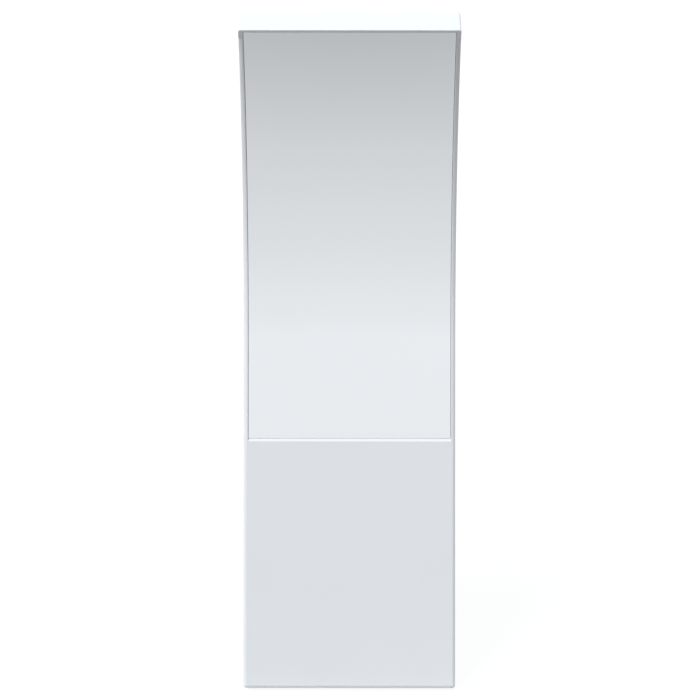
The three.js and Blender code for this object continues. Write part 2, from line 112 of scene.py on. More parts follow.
nearby = 0.0001         # how close counts as touching, where edges are picked by place
weldGap = 0.000002      # vertices this close are one
outlineGap = 0.00001    # the same, along an outline that has just been walked
over = 0.01             # how far a cutter runs past what it cuts
facing = 0.9            # a face looks one way when its normal goes this far along it
across = 0.5            # and lies across that way when its normal goes less far than this


def startFresh():  # nothing selected, object mode
    if bpy.context.object and bpy.context.object.mode != "OBJECT":
        bpy.ops.object.mode_set(mode="OBJECT")
    bpy.ops.object.select_all(action="DESELECT")


def makeActive(piece):
    startFresh()
    piece.select_set(True)
    bpy.context.view_layer.objects.active = piece


def openEdit(piece):
    makeActive(piece)
    bpy.ops.object.mode_set(mode="EDIT")


def closeEdit():
    bpy.ops.object.mode_set(mode="OBJECT")


def applyPlace(piece):  # back to the origin, unturned and unscaled
    makeActive(piece)
    bpy.ops.object.transform_apply(location=True, rotation=True, scale=True)


def addBlock(name, low, high):
    startFresh()
    middle = (Vector(low) + Vector(high)) / 2
    bpy.ops.mesh.primitive_cube_add(size=1, location=middle, scale=Vector(high) - Vector(low))
    piece = bpy.context.object
    piece.name = name
    applyPlace(piece)
    return piece


def addBar(name, radius, low, high, sides=48):  # round bar along Z
    startFresh()
    bpy.ops.mesh.primitive_cylinder_add(
        vertices=sides, radius=radius, depth=high - low, location=(0, 0, (low + high) / 2))
    piece = bpy.context.object
    piece.name = name
    applyPlace(piece)
    return piece


def pickFaces(piece, test):
    bpy.ops.mesh.select_mode(type="FACE")
    mesh = bmesh.from_edit_mesh(piece.data)
    for face in mesh.faces:
        face.select_set(bool(test(face)))
    mesh.select_flush_mode()
    bmesh.update_edit_mesh(piece.data)


def endsOf(edge):
    return [v.co for v in edge.verts]


def pickEdges(piece, test):
    bpy.ops.mesh.select_mode(type="EDGE")
    mesh = bmesh.from_edit_mesh(piece.data)
    for edge in mesh.edges:
        edge.select_set(False)
    for edge in mesh.edges:
        if test(edge):
            edge.select_set(True)
    bmesh.update_edit_mesh(piece.data)


def extrudeBy(step):
    bpy.ops.mesh.extrude_region_move(TRANSFORM_OT_translate={"value": step})


def insetBy(margin, depth=0):
    bpy.ops.mesh.inset(thickness=margin, depth=depth)


def bevelEdges(piece, test, width, segments, profile=0.5):  # a profile of 0.25 is a flat slope
    openEdit(piece)
    pickEdges(piece, test)
    bpy.ops.mesh.bevel(
        offset=width, offset_type="OFFSET", segments=segments, profile=profile, affect="EDGES")
    closeEdit()


def stretchFrom(piece, origin, factors):
    openEdit(piece)
    bpy.ops.mesh.select_all(action="SELECT")
    bpy.ops.transform.resize(value=factors, center_override=origin)
    closeEdit()


def fixNormals(piece):
    openEdit(piece)
    bpy.ops.mesh.select_all(action="SELECT")
    bpy.ops.mesh.remove_doubles(threshold=weldGap)
    bpy.ops.mesh.normals_make_consistent(inside=False)
    closeEdit()


# an outline is walked from one vertex: straight stretches are extruded, arcs are spun
def startOutline(name, at):
    startFresh()
    bpy.ops.mesh.primitive_plane_add(size=0.01, location=at)  # any size, it shrinks to one vertex
    piece = bpy.context.object
    piece.name = name
    applyPlace(piece)
    bpy.ops.object.mode_set(mode="EDIT")
    bpy.ops.mesh.select_mode(type="VERT")
    bpy.ops.mesh.select_all(action="SELECT")
    bpy.ops.mesh.merge(type="CENTER")
    return piece


def tipOf(piece):  # where the outline has got to
    mesh = bmesh.from_edit_mesh(piece.data)
    return next(v.co.copy() for v in mesh.verts if v.select)


def lineTo(piece, point, steps=1):
    step = (point - tipOf(piece)) / steps
    for _ in range(steps):
        extrudeBy(step)


def arcBy(piece, centre, angle, steps):  # spin counts its angle the other way round
    bpy.ops.mesh.spin(steps=steps, angle=-angle, center=centre, axis=(1, 0, 0))


def fillOutline(piece, width):
    bpy.ops.mesh.select_all(action="SELECT")
    bpy.ops.mesh.remove_doubles(threshold=outlineGap)
    bpy.ops.mesh.edge_face_add()
    extrudeBy((width, 0, 0))
    fixNormals(piece)


def runModifier(piece, kind, **settings):
    makeActive(piece)
    modifier = piece.modifiers.new(kind.lower(), kind)
    for key, value in settings.items():
        setattr(modifier, key, value)
    bpy.ops.object.modifier_apply(modifier=modifier.name)


def carve(piece, cutter):
    runModifier(piece, "BOOLEAN", operation="DIFFERENCE", solver="EXACT", object=cutter)
    bpy.data.objects.remove(cutter)


def breakEdges(piece, width, segments=2, limit=35):  # rounds the edges that turn further than the limit
    runModifier(
        piece, "BEVEL", width=width, segments=segments, limit_method="ANGLE",
        angle_limit=math.radians(limit), miter_outer="MITER_ARC", use_clamp_overlap=True)


def smoothFaces(piece, limit=30):  # edges that turn further than the limit, in degrees, stay crisp
    makeActive(piece)
    bpy.ops.object.shade_smooth_by_angle(angle=math.radians(limit))
    runModifier(piece, "WEIGHTED_NORMAL", mode="FACE_AREA", keep_sharp=True, weight=60)


def copyOf(piece, name):
    makeActive(piece)
    bpy.ops.object.duplicate(linked=False)
    twin = bpy.context.object
    twin.name = name
    return twin


def addSecondFinish(piece, finish, second, test):  # the second one goes on the faces that pass the test
    piece.data.materials.append(finish)
    piece.data.materials.append(second)
    openEdit(piece)
    pickFaces(piece, test)
    piece.active_material_index = 1
    bpy.ops.object.material_slot_assign()
    closeEdit()


def finishPiece(piece, finish, slotName, *nodes):  # a piece that has its finishes already gives None
    if finish:
        piece.data.materials.clear()
        piece.data.materials.append(finish)
    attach(piece, "root")
    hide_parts(*nodes)


def newMaterial(name, roughness, metallic=0.0):
    material = bpy.data.materials.new(name)
    material.use_nodes = True
    shader = material.node_tree.nodes["Principled BSDF"]
    shader.inputs["Roughness"].default_value = roughness
    shader.inputs["Metallic"].default_value = metallic
    return material, shader


def addNode(material, kind, **values):
    node = material.node_tree.nodes.new(kind)
    for key, value in values.items():
        setattr(node, key, value)
    return node


def joinNodes(material, source, target):
    material.node_tree.links.new(source, target)


def placedNoise(material, scale, detail=3, roughness=0.5, stretch=(1, 1, 1)):
    place = addNode(material, "ShaderNodeTexCoord")
    mapping = addNode(material, "ShaderNodeMapping")
    mapping.inputs["Scale"].default_value = stretch
    noise = addNode(material, "ShaderNodeTexNoise")
    noise.inputs["Scale"].default_value = scale
    noise.inputs["Detail"].default_value = detail
    noise.inputs["Roughness"].default_value = roughness
    joinNodes(material, place.outputs["Object"], mapping.inputs["Vector"])
    joinNodes(material, mapping.outputs["Vector"], noise.inputs["Vector"])
    return noise.outputs["Fac"]


def rampOf(material, factor, stops):
    ramp = addNode(material, "ShaderNodeValToRGB")
    while len(ramp.color_ramp.elements) < len(stops):
        ramp.color_ramp.elements.new(0.5)  # anywhere, each is moved to its place below
    for element, (at, colour) in zip(ramp.color_ramp.elements, stops):
        element.position = at
        element.color = (*colour, 1)
    joinNodes(material, factor, ramp.inputs["Fac"])
    return ramp.outputs["Color"]


noiseLow = 0.3     # a noise seldom leaves this span
noiseHigh = 0.7


def colourBy(material, shader, factor, dark, light, low=noiseLow, high=noiseHigh):
    tone = rampOf(material, factor, [(low, dark), (high, light)])
    joinNodes(material, tone, shader.inputs["Base Color"])


def rangeOf(material, factor, low, high):
    mapRange = addNode(material, "ShaderNodeMapRange")
    mapRange.inputs["From Min"].default_value = noiseLow
    mapRange.inputs["From Max"].default_value = noiseHigh
    mapRange.inputs["To Min"].default_value = low
    mapRange.inputs["To Max"].default_value = high
    joinNodes(material, factor, mapRange.inputs["Value"])
    return mapRange.outputs["Result"]


def roughenBy(material, shader, factor, low, high):
    joinNodes(material, rangeOf(material, factor, low, high), shader.inputs["Roughness"])


def bumpOf(material, shader, height, strength, distance):
    bump = addNode(material, "ShaderNodeBump")
    bump.inputs["Strength"].default_value = strength
    bump.inputs["Distance"].default_value = distance
    joinNodes(material, height, bump.inputs["Height"])
    joinNodes(material, bump.outputs["Normal"], shader.inputs["Normal"])


whitePaint = {
    "plain": (0.887, 0.906, 0.925),
    "deeper": (0.875, 0.894, 0.914),
    "cloud": {"scale": 7, "detail": 2},    # slow drift between the two tones
    "cloudSpan": (0.35, 0.65),
    "rough": 0.45,
    "sheen": {"scale": 35, "detail": 4, "roughness": 0.6},    # slow drift between the two roughnesses
    "roughLow": 0.42,
    "roughHigh": 0.50,
    "peel": {"scale": 420, "detail": 1.5, "roughness": 0.4},  # orange peel, about 2 mm across
    "peelStrength": 0.35,
    "peelHeight": 0.00004,
}


def makeWhitePaint():
    material, shader = newMaterial("satin_white_paint", whitePaint["rough"])
    cloud = placedNoise(material, **whitePaint["cloud"])
    colourBy(material, shader, cloud, whitePaint["deeper"], whitePaint["plain"], *whitePaint["cloudSpan"])
    sheen = placedNoise(material, **whitePaint["sheen"])
    roughenBy(material, shader, sheen, whitePaint["roughLow"], whitePaint["roughHigh"])
    peel = placedNoise(material, **whitePaint["peel"])
    bumpOf(material, shader, peel, whitePaint["peelStrength"], whitePaint["peelHeight"])
    return material


mirrorGlass = {
    "tint": (0.862, 0.895, 0.928),
    "shade": 0.992,          # of the tint, where the haze is thinnest
    "haze": {"scale": 5, "detail": 2},
    "rough": 0.015,
    "hazeRough": 0.030,      # the same, where the haze is deepest
    "edge": (0.80, 0.87, 0.87),
    "edgeLight": 1.25,       # times the edge's colour, where the grinding is palest
    "edgeRough": 0.4,
    "grind": {"scale": 900, "detail": 3, "roughness": 0.6, "stretch": (1, 1, 0.15)},
    "grindStrength": 0.3,
    "grindHeight": 0.00008,
}


def shadeOf(colour, share):
    return tuple(min(channel * share, 1) for channel in colour)


def makeMirrorSilver():
    tint, rough = mirrorGlass["tint"], mirrorGlass["rough"]
    material, shader = newMaterial("mirror_silver", rough, metallic=1.0)
    haze = placedNoise(material, **mirrorGlass["haze"])
    roughenBy(material, shader, haze, rough, mirrorGlass["hazeRough"])
    colourBy(material, shader, haze, shadeOf(tint, mirrorGlass["shade"]), tint)
    return material


def makeGlassEdge():
    edge = mirrorGlass["edge"]
    material, shader = newMaterial("ground_glass_edge", mirrorGlass["edgeRough"])
    grind = placedNoise(material, **mirrorGlass["grind"])
    colourBy(material, shader, grind, edge, shadeOf(edge, mirrorGlass["edgeLight"]))
    bumpOf(material, shader, grind, mirrorGlass["grindStrength"], mirrorGlass["grindHeight"])
    return material


fibreBoard = {
    "felt": {"scale": 260, "detail": 6, "roughness": 0.65},
    "feltHeight": 0.0002,
    "cloud": {"scale": 9},
    "share": 0.5,            # of each in the tone
    "toneSpan": (0.2, 0.8),
}
rawBoard = {
    "dark": (0.300, 0.185, 0.100),
    "light": (0.420, 0.280, 0.165),
    "rough": 0.85,
    "bump": 0.6,
}
lacqueredBoard = {
    "dark": (0.705, 0.705, 0.690),
    "light": (0.760, 0.765, 0.755),
    "rough": 0.55,
    "bump": 0.25,
}


def makeFibreBoard(name, board):
    material, shader = newMaterial(name, board["rough"])
    felt = placedNoise(material, **fibreBoard["felt"])
    cloud = placedNoise(material, **fibreBoard["cloud"])
    blend = addNode(material, "ShaderNodeMath", operation="ADD")
    for socket, noise in zip(blend.inputs, (felt, cloud)):
        joinNodes(material, rangeOf(material, noise, 0, fibreBoard["share"]), socket)
    colourBy(material, shader, blend.outputs[0], board["dark"], board["light"], *fibreBoard["toneSpan"])
    bumpOf(material, shader, felt, board["bump"], fibreBoard["feltHeight"])
    return material


beechWood = {
    "vein": (0.430, 0.245, 0.115),
    "pale": (0.640, 0.420, 0.225),
    "rough": 0.62,
    "grain": {"scale": 900, "detail": 5, "roughness": 0.6},
    "grainSpan": (0.35, 0.62),
    "grainStrength": 0.4,
    "grainHeight": 0.0002,
    "across": (0.06, 1, 1),       # small along the grain
    "upright": (1, 0.3, 0.06),
}


def makeBeech(name, stretch):
    material, shader = newMaterial(name, beechWood["rough"])
    grain = placedNoise(material, stretch=stretch, **beechWood["grain"])
    colourBy(material, shader, grain, beechWood["vein"], beechWood["pale"], *beechWood["grainSpan"])
    bumpOf(material, shader, grain, beechWood["grainStrength"], beechWood["grainHeight"])
    return material


zincGrain = {
    "detail": 4,
    "roughness": 0.6,
    "dark": 0.8,             # of the colour, in the darkest grains
    "smoother": 0.08,        # off the roughness there
    "rougher": 0.1,          # onto it in the palest ones
    "strength": 0.2,
    "height": 0.0001,
}
zincPlate = {
    "colour": (0.62, 0.64, 0.66),
    "rough": 0.34,
    "grainScale": 500,
}
dieCast = {
    "colour": (0.50, 0.51, 0.52),
    "rough": 0.48,
    "grainScale": 900,
}


def makeZinc(name, zinc):
    rough = zinc["rough"]
    material, shader = newMaterial(name, rough, metallic=1.0)
    spangle = placedNoise(material, zinc["grainScale"], zincGrain["detail"], zincGrain["roughness"])
    colourBy(material, shader, spangle, shadeOf(zinc["colour"], zincGrain["dark"]), zinc["colour"])
    roughenBy(material, shader, spangle, rough - zincGrain["smoother"], rough + zincGrain["rougher"])
    bumpOf(material, shader, spangle, zincGrain["strength"], zincGrain["height"])
    return material


plastic = {
    "dark": (0.66, 0.665, 0.66),
    "light": (0.74, 0.745, 0.74),
    "rough": 0.5,
    "grain": {"scale": 1600, "detail": 3, "roughness": 0.6},
    "bump": 0.35,
    "height": 0.0001,
}
foam = {
    "dark": (0.20, 0.205, 0.21),
    "light": (0.34, 0.345, 0.35),
    "rough": 0.9,
    "grain": {"scale": 2600, "detail": 3, "roughness": 0.7},
    "bump": 0.7,
    "height": 0.0002,
}


def makeGrained(name, stuff):
    material, shader = newMaterial(name, stuff["rough"])
    grain = placedNoise(material, **stuff["grain"])
    colourBy(material, shader, grain, stuff["dark"], stuff["light"])
    bumpOf(material, shader, grain, stuff["bump"], stuff["height"])
    return material


paint = makeWhitePaint()
silver = makeMirrorSilver()
glassEdge = makeGlassEdge()
whiteHardboard = makeFibreBoard("lacquered_hardboard", lacqueredBoard)
rawHardboard = makeFibreBoard("raw_hardboard", rawBoard)
beechAcross = makeBeech("beech_grain_across", beechWood["across"])
beechUpright = makeBeech("beech_grain_upright", beechWood["upright"])
zincSteel = makeZinc("zinc_plated_steel", zincPlate)
zincAlloy = makeZinc("zinc_die_cast", dieCast)
whitePlastic = makeGrained("moulded_white_plastic", plastic)
foamTape = makeGrained("foam_tape", foam)
print("finishes made")

sideBoard = {
    "easeWidth": 0.0052,    # outer front and rear edges, seen from the front
    "easeDepth": 0.0031,
    "easeProfile": 0.34,
    "easeSteps": 4,
    "bendSteps": 80,
    "rearSteps": 48,
    "lip": 0.0073,          # seen beside the mirror
    "panelSeat": 0.0153,    # front set back behind the lower panel
    "panelTop": 0.418660,   # upper end of that seat, along the slope
    "rabbetDepth": 0.0096,  # for the mirror and its backing
    "grooveDepth": 0.0063,  # for the back panel
    "grooveFront": 0.0113,  # from the rear edge
    "grooveRear": 0.0077,
    "squareEdge": 0.0003,   # taken off what is left square
}


def frontBar(name, outer, inner, start, end, fromX, toX, steps, straightSteps=1):
    # closed bar that follows the front between two insets
    bendStart = body["straightLength"]
    angle = (end - bendStart) / body["bendRadius"]
    piece = startOutline(name, frontPoint(inner, start, fromX))
    lineTo(piece, frontPoint(inner, bendStart, fromX), straightSteps)
    arcBy(piece, bendCentre, angle, steps)
    lineTo(piece, frontPoint(outer, end, fromX))
    arcBy(piece, bendCentre, -angle, steps)
    lineTo(piece, frontPoint(outer, start, fromX), straightSteps)
    lineTo(piece, frontPoint(inner, start, fromX))
    fillOutline(piece, toX - fromX)
    return piece


def rearBar(name, outer, inner, height, endTurn, fromX, toX, steps):
    # closed bar that follows the rear between two insets
    angle = endTurn - rearTurn
    piece = startOutline(name, rearPoint(inner, height, fromX))
    lineTo(piece, bendPoint(rearRadius - inner, rearTurn, fromX))
    arcBy(piece, bendCentre, angle, steps)
    lineTo(piece, bendPoint(rearRadius - outer, endTurn, fromX))
    arcBy(piece, bendCentre, -angle, steps)
    lineTo(piece, rearPoint(outer, height, fromX))
    lineTo(piece, rearPoint(inner, height, fromX))
    fillOutline(piece, toX - fromX)
    return piece


def easedSideEdge(edge):  # outer front edge above the panel's seat, and the outer rear edge
    if any(abs(v.co.x + halfWidth) > nearby for v in edge.verts):
        return False
    middle = (edge.verts[0].co + edge.verts[1].co) / 2
    aboveSeat = middle.z > frontPoint(0, sideBoard["panelTop"]).z
    onRear = any(face.normal.y > facing for face in edge.link_faces)
    onFront = any(face.normal.y < -facing for face in edge.link_faces)
    return onRear or (onFront and aboveSeat)


def makeLeftBoard():
    seat = sideBoard["panelSeat"]
    seatFront = seat / math.cos(lean)
    seatTop = sideBoard["panelTop"]
    sole = Vector((-halfWidth, foot.y + seatFront, foot.z))
    piece = startOutline("sideBoardLeft", sole)
    lineTo(piece, frontPoint(seat, seatTop, -halfWidth))
    lineTo(piece, frontPoint(0, seatTop, -halfWidth))
    lineTo(piece, frontPoint(0, body["straightLength"], -halfWidth))
    arcBy(piece, bendCentre, lean + topTurn, sideBoard["bendSteps"])
    lineTo(piece, bendPoint(rearRadius, topTurn, -halfWidth))
    arcBy(piece, bendCentre, rearTurn - topTurn, sideBoard["rearSteps"])
    lineTo(piece, Vector((-halfWidth, leftHigh.y, foot.z)))
    lineTo(piece, sole)
    widen = sideBoard["easeWidth"] / sideBoard["easeDepth"]  # made thin, eased evenly, then widened
    fillOutline(piece, (halfWidth - innerFace) / widen)
    bevelEdges(
        piece, easedSideEdge, sideBoard["easeDepth"], sideBoard["easeSteps"], sideBoard["easeProfile"])
    stretchFrom(piece, sole, (widen, 1, 1))
    # two steps more than the board's, so that no two corners of the bends meet
    rabbet = frontBar(
        "rabbetCutter", -over, sideBoard["rabbetDepth"], seatTop - over, frontTop + over,
        -halfWidth + sideBoard["lip"], -innerFace + over, sideBoard["bendSteps"] + 2)
    carve(piece, rabbet)
    groove = rearBar(
        "grooveCutter", sideBoard["grooveRear"], sideBoard["grooveFront"], foot.z - over,
        topTurn + over / rearRadius, -innerFace - sideBoard["grooveDepth"], -innerFace + over,
        sideBoard["rearSteps"])
    carve(piece, groove)
    breakEdges(piece, sideBoard["squareEdge"])
    return piece


def makeRightBoard(left):  # the left one, mirrored
    right = copyOf(left, "sideBoardRight")
    right.scale.x = -1
    applyPlace(right)
    fixNormals(right)
    return right


leftBoard = makeLeftBoard()
rightBoard = makeRightBoard(leftBoard)
smoothFaces(leftBoard)
smoothFaces(rightBoard)
finishPiece(leftBoard, paint, "white_paint", "side_board_left")
finishPiece(rightBoard, paint, "white_paint", "side_board_right")
print("side boards made")


# these pieces are modelled flat and then stood on the front;
# in its own place a piece has Y running inwards and Z up along the front

def standOnFront(piece, along):
    piece.location = frontPoint(0, along)
    piece.rotation_euler.x = turnAt(along)
    applyPlace(piece)


lowerPanel = {
    "thickness": 0.015,
    "length": 0.4129,
    "start": 0.00576,     # its lower end, along the slope
    "corner": 0.0055,     # lower corners, seen from the front
    "cornerSteps": 8,
    "easeWidth": 0.0052,  # outer edges
    "easeDepth": 0.0031,
    "easeProfile": 0.34,
    "easeSteps": 4,
    "ledgeWidth": 0.0048,  # sloped upper edge below the mirror
    "ledgeDepth": 0.0028,
    "squareEdge": 0.00025,  # taken off what is left square
}


def makeLowerPanel():  # made too deep, eased evenly, then flattened
    length = lowerPanel["length"]
    deepen = lowerPanel["easeWidth"] / lowerPanel["easeDepth"]
    rear = lowerPanel["thickness"] * deepen
    piece = addBlock("frontPanel", (-halfWidth, 0, 0), (halfWidth, rear, length))

    def lowerCorner(edge):
        a, b = endsOf(edge)
        return max(a.z, b.z) < nearby and abs(a.x - b.x) < nearby

    def frontRim(edge):  # all but the upper edge
        a, b = endsOf(edge)
        atFront = max(a.y, b.y) < nearby
        atTop = min(a.z, b.z) > length - nearby
        onRim = any(face.normal.y > -across for face in edge.link_faces)
        return atFront and onRim and not atTop

    bevelEdges(piece, lowerCorner, lowerPanel["corner"], lowerPanel["cornerSteps"])
    bevelEdges(
        piece, frontRim, lowerPanel["easeWidth"], lowerPanel["easeSteps"], lowerPanel["easeProfile"])
    stretchFrom(piece, (0, 0, 0), (1, 1 / deepen, 1))
    return piece


def makeLedgeCutter():
    # the bar outside the sloped edge below the mirror; it runs on past the slope at both ends
    width = lowerPanel["ledgeWidth"]
    depth = lowerPanel["ledgeDepth"]
    length = lowerPanel["length"]
    fromX = -halfWidth + sideBoard["lip"]
    piece = startOutline("ledgeCutter", Vector((fromX, -depth, length - 2 * width)))
    lineTo(piece, Vector((fromX, 2 * depth, length + width)))
    lineTo(piece, Vector((fromX, -depth, length + width)))
    lineTo(piece, Vector((fromX, -depth, length - 2 * width)))
    fillOutline(piece, -2 * fromX)
    return piece


frontPanel = makeLowerPanel()
carve(frontPanel, makeLedgeCutter())
breakEdges(frontPanel, lowerPanel["squareEdge"])
standOnFront(frontPanel, lowerPanel["start"])
smoothFaces(frontPanel)
finishPiece(frontPanel, paint, "white_paint", "lower_front_panel")
print("front panel made")

cap = {
    "thickness": 0.015,
    "corner": 0.005,      # rear corners, seen from above
    "cornerSteps": 8,
    "ease": 0.0034,       # upper edges at the sides and the rear
    "easeSteps": 6,
    "lip": 0.0048,        # left above the mirror's pocket
    "squareEdge": 0.0005,  # taken off what is left square
}


def makeCap():
    low = body["fit"]
    high = low + cap["thickness"]
    piece = addBlock("topBoard", (-halfWidth, 0, low), (halfWidth, body["crownDepth"], high))

    def rearUpright(edge):
        a, b = endsOf(edge)
        return abs(a.z - b.z) > cap["thickness"] / 2 and a.y > nearby

    def upperRim(edge):  # all but the front edge
        a, b = endsOf(edge)
        onRim = any(face.normal.z < across for face in edge.link_faces)
        return onRim and min(a.z, b.z) > high - nearby and max(a.y, b.y) > nearby

    bevelEdges(piece, rearUpright, cap["corner"], cap["cornerSteps"])
    bevelEdges(piece, upperRim, cap["ease"], cap["easeSteps"])
    lipX = halfWidth - sideBoard["lip"]
    pocket = addBlock(
        "pocketCutter", (-lipX, -over, low - over), (lipX, sideBoard["rabbetDepth"], high - cap["lip"]))
    carve(piece, pocket)
    breakEdges(piece, cap["squareEdge"])
    standOnFront(piece, frontTop)
    smoothFaces(piece)
    return piece


topBoard = makeCap()
finishPiece(topBoard, paint, "white_paint", "top_board")
print("top board made")

pane = {
    "recess": 0.0020,       # front of the glass behind the front edges
    "thickness": 0.003,
    "start": 0.418760,      # lower end, along the slope
    "seam": 0.0006,         # open joint above it
    "bendSteps": 96,
    "straightSteps": 20,
    "groundEdge": 0.0002,
    "frontFacing": 0.85,    # the front leans and bends, and still faces forwards by this much
    "sideFacing": 0.3,
}


def makePane():
    low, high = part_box("mirror")
    end = frontTop + body["fit"] + cap["thickness"] - cap["lip"] - pane["seam"]
    piece = frontBar(
        "mirrorPane", pane["recess"], pane["recess"] + pane["thickness"], pane["start"], end,
        low.x, high.x, pane["bendSteps"], pane["straightSteps"])
    breakEdges(piece, pane["groundEdge"], segments=1)

    def notFront(face):
        return face.normal.y > -pane["frontFacing"] or abs(face.normal.x) > pane["sideFacing"]

    addSecondFinish(piece, silver, glassEdge, notFront)
    smoothFaces(piece)
    return piece


mirrorPane = makePane()
finishPiece(mirrorPane, None, "mirror", "mirror")
print("mirror made")

backSheet = {
    "recess": 0.008,       # behind the rear edges of the side boards
    "thickness": 0.003,
    "rise": 0.012,         # above the soles of the side boards
    "steps": 48,
    "cutEdge": 0.0002,
    "rearFacing": 0.8,     # the rear bends, and still faces backwards by this much
}


def makeBackSheet():
    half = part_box("back_panel")[1].x
    endTurn = topTurn - body["fit"] / rearRadius
    piece = rearBar(
        "backSheet", backSheet["recess"], backSheet["recess"] + backSheet["thickness"],
        foot.z + backSheet["rise"], endTurn, -half, half, backSheet["steps"])
    breakEdges(piece, backSheet["cutEdge"], segments=1)

    def notRear(face):  # only the rear face is lacquered
        return face.normal.y < backSheet["rearFacing"]

    addSecondFinish(piece, whiteHardboard, rawHardboard, notRear)
    smoothFaces(piece)
    return piece


backPanel = makeBackSheet()
finishPiece(backPanel, None, "white_hardboard", "back_panel")

screw = {
    "headRadius": 0.0035,
    "headHeight": 0.002,
    "crownEase": 0.0009,
    "crownSteps": 6,
    "shankRadius": 0.00175,
    "length": 0.0173,
    "tip": 0.003,
    "crossLength": 0.0042,
    "crossWidth": 0.0009,
    "crossDepth": 0.0012,
    "crossClear": 0.001,   # how far its cutter stands out of the head
    "spread": 0.110,       # from the middle of the panel
    "crispPast": 40,       # degrees
}


def facesUp(face):
    return face.normal.z > facing


def facesDown(face):
    return face.normal.z < -facing


def makeScrew():  # along +Z into the board, with the head's seat at zero
    piece = addBar("backScrew1", screw["headRadius"], -screw["headHeight"], 0)
    openEdit(piece)
    pickFaces(piece, facesUp)
    insetBy(screw["headRadius"] - screw["shankRadius"])
    extrudeBy((0, 0, screw["length"] - screw["tip"]))
    extrudeBy((0, 0, screw["tip"]))
    bpy.ops.mesh.merge(type="CENTER")
    closeEdit()
    top = -screw["headHeight"]

    def crownRim(edge):
        onSide = any(abs(face.normal.z) < across for face in edge.link_faces)
        return onSide and max(v.co.z for v in edge.verts) < top + nearby

    bevelEdges(piece, crownRim, screw["crownEase"], screw["crownSteps"])
    long = screw["crossLength"] / 2
    thin = screw["crossWidth"] / 2
    for x, y in ((long, thin), (thin, long)):
        cutter = addBlock(
            "crossCutter", (-x, -y, top - screw["crossClear"]), (x, y, top + screw["crossDepth"]))
        carve(piece, cutter)
    smoothFaces(piece, screw["crispPast"])
    return piece


def placeScrew(piece, x, board):
    low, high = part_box(board)
    piece.location = rearPoint(backSheet["recess"] - body["fit"], (low.z + high.z) / 2, x)
    piece.rotation_euler.x = rearTurn + math.pi / 2
    applyPlace(piece)


modelScrew = makeScrew()
backScrews = [modelScrew] + [copyOf(modelScrew, "backScrew" + str(i)) for i in (2, 3, 4)]
screwPlaces = [
    (x, board)
    for board in ("bottom_board", "middle_board")
    for x in (-screw["spread"], screw["spread"])
]
for number, (piece, (x, board)) in enumerate(zip(backScrews, screwPlaces), 1):
    placeScrew(piece, x, board)
    finishPiece(piece, zincSteel, "zinc_steel", "back_panel_screw_" + str(number))
print("back panel and screws made")

glide = {
    "radius": 0.006,
    "height": 0.0025,
    "ease": 0.0009,
    "easeSteps": 5,
    "rim": 0.0022,         # around the hollow in the sole
    "dish": 0.0004,        # depth of that hollow
    "pinRadius": 0.0012,
    "pinLength": 0.012,
    "crispPast": 35,       # degrees
}


def makeGlide():
    piece = addBar("glideFrontLeft", glide["radius"], -glide["height"], 0)
    openEdit(piece)
    pickFaces(piece, facesUp)
    insetBy(glide["radius"] - glide["pinRadius"])
    extrudeBy((0, 0, glide["pinLength"]))
    pickFaces(piece, facesDown)
    insetBy(glide["rim"])
    insetBy(glide["dish"], -glide["dish"])
    closeEdit()

    def lowerRim(edge):
        onSide = any(abs(face.normal.z) < across for face in edge.link_faces)
        outside = min(v.co.to_2d().length for v in edge.verts) > glide["radius"] - nearby
        return onSide and outside and max(v.co.z for v in edge.verts) < -glide["height"] + nearby

    bevelEdges(piece, lowerRim, glide["ease"], glide["easeSteps"])
    smoothFaces(piece, glide["crispPast"])
    return piece


def placeGlide(piece, node):
    low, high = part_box(node)
    piece.location = ((low.x + high.x) / 2, (low.y + high.y) / 2, low.z + glide["height"])
    applyPlace(piece)


firstGlide = makeGlide()
glideSpots = ("FrontLeft", "FrontRight", "RearLeft", "RearRight")
glides = [firstGlide] + [copyOf(firstGlide, "glide" + spot) for spot in glideSpots[1:]]
glideNodes = [
    "foot_glide_" + end + "_" + side for end in ("front", "rear") for side in ("left", "right")
]
for piece, node in zip(glides, glideNodes):
    placeGlide(piece, node)
    finishPiece(piece, whitePlastic, "white_plastic", node)
print("glides made")

# the boards and fittings inside keep their solids and only get a finish
nodeFinishes = {
    "bottom_board": paint,
    "middle_board": paint,
    "mirror_support_rail": paint,
    "upper_rail": paint,
    "panel_corner_block": beechAcross,
    "mirror_backing_board": rawHardboard,
    "mirror_tape_strip": foamTape,
    "top_board_dowel": beechUpright,
    "bottom_board_dowel": beechAcross,
    "middle_board_dowel": beechAcross,
    "support_rail_dowel": beechAcross,
    "upper_rail_dowel": beechAcross,
    "cam_bolt": zincSteel,
    "cam_housing": zincAlloy,
    "corner_block_screw": zincSteel,
}


def finishNodes():
    for name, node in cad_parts.items():
        if node.hide_render:  # a piece above has taken its place
            continue
        stem = name.rstrip("0123456789").rstrip("_")
        node.data.materials.clear()
        node.data.materials.append(nodeFinishes[stem])


finishNodes()
print("inner pieces finished")

studio = {
    "floorSize": 80,
    "floorShade": 0.12,           # how much of the shadow shows
    "floorGlow": 0.91,
    "floorBounce": 0.18,          # how pale the floor is to the light that it throws back
    "matBounce": 0.72,            # the same, close around the object
    "matEdge": (0.0, 0.035),      # where the paler floor fades out, from the object's outline
    "matHeight": 1,               # enough that height doesn't count
    "halfWayOut": 1.0,            # metres, where the way out to the horizon counts as half gone
    "skyShown": 1.0,
    "skyLight": 0.60,             # what the open sky gives the object
    "skyTint": (0.955, 1.0, 1.035),
}

# lamps: spread and height in degrees, and the turn from the front towards the left
lamps = {
    "key": {"strength": 1.84, "spread": 36, "height": 52, "turn": 57},
    "side": {"strength": 0.35, "spread": 40, "height": 8, "turn": 90},
    "fill": {"strength": 0.48, "spread": 50, "height": 12, "turn": 235},  # from behind, on the right
}
lampRise = 3    # where the lamps stand in the viewport, out of the way

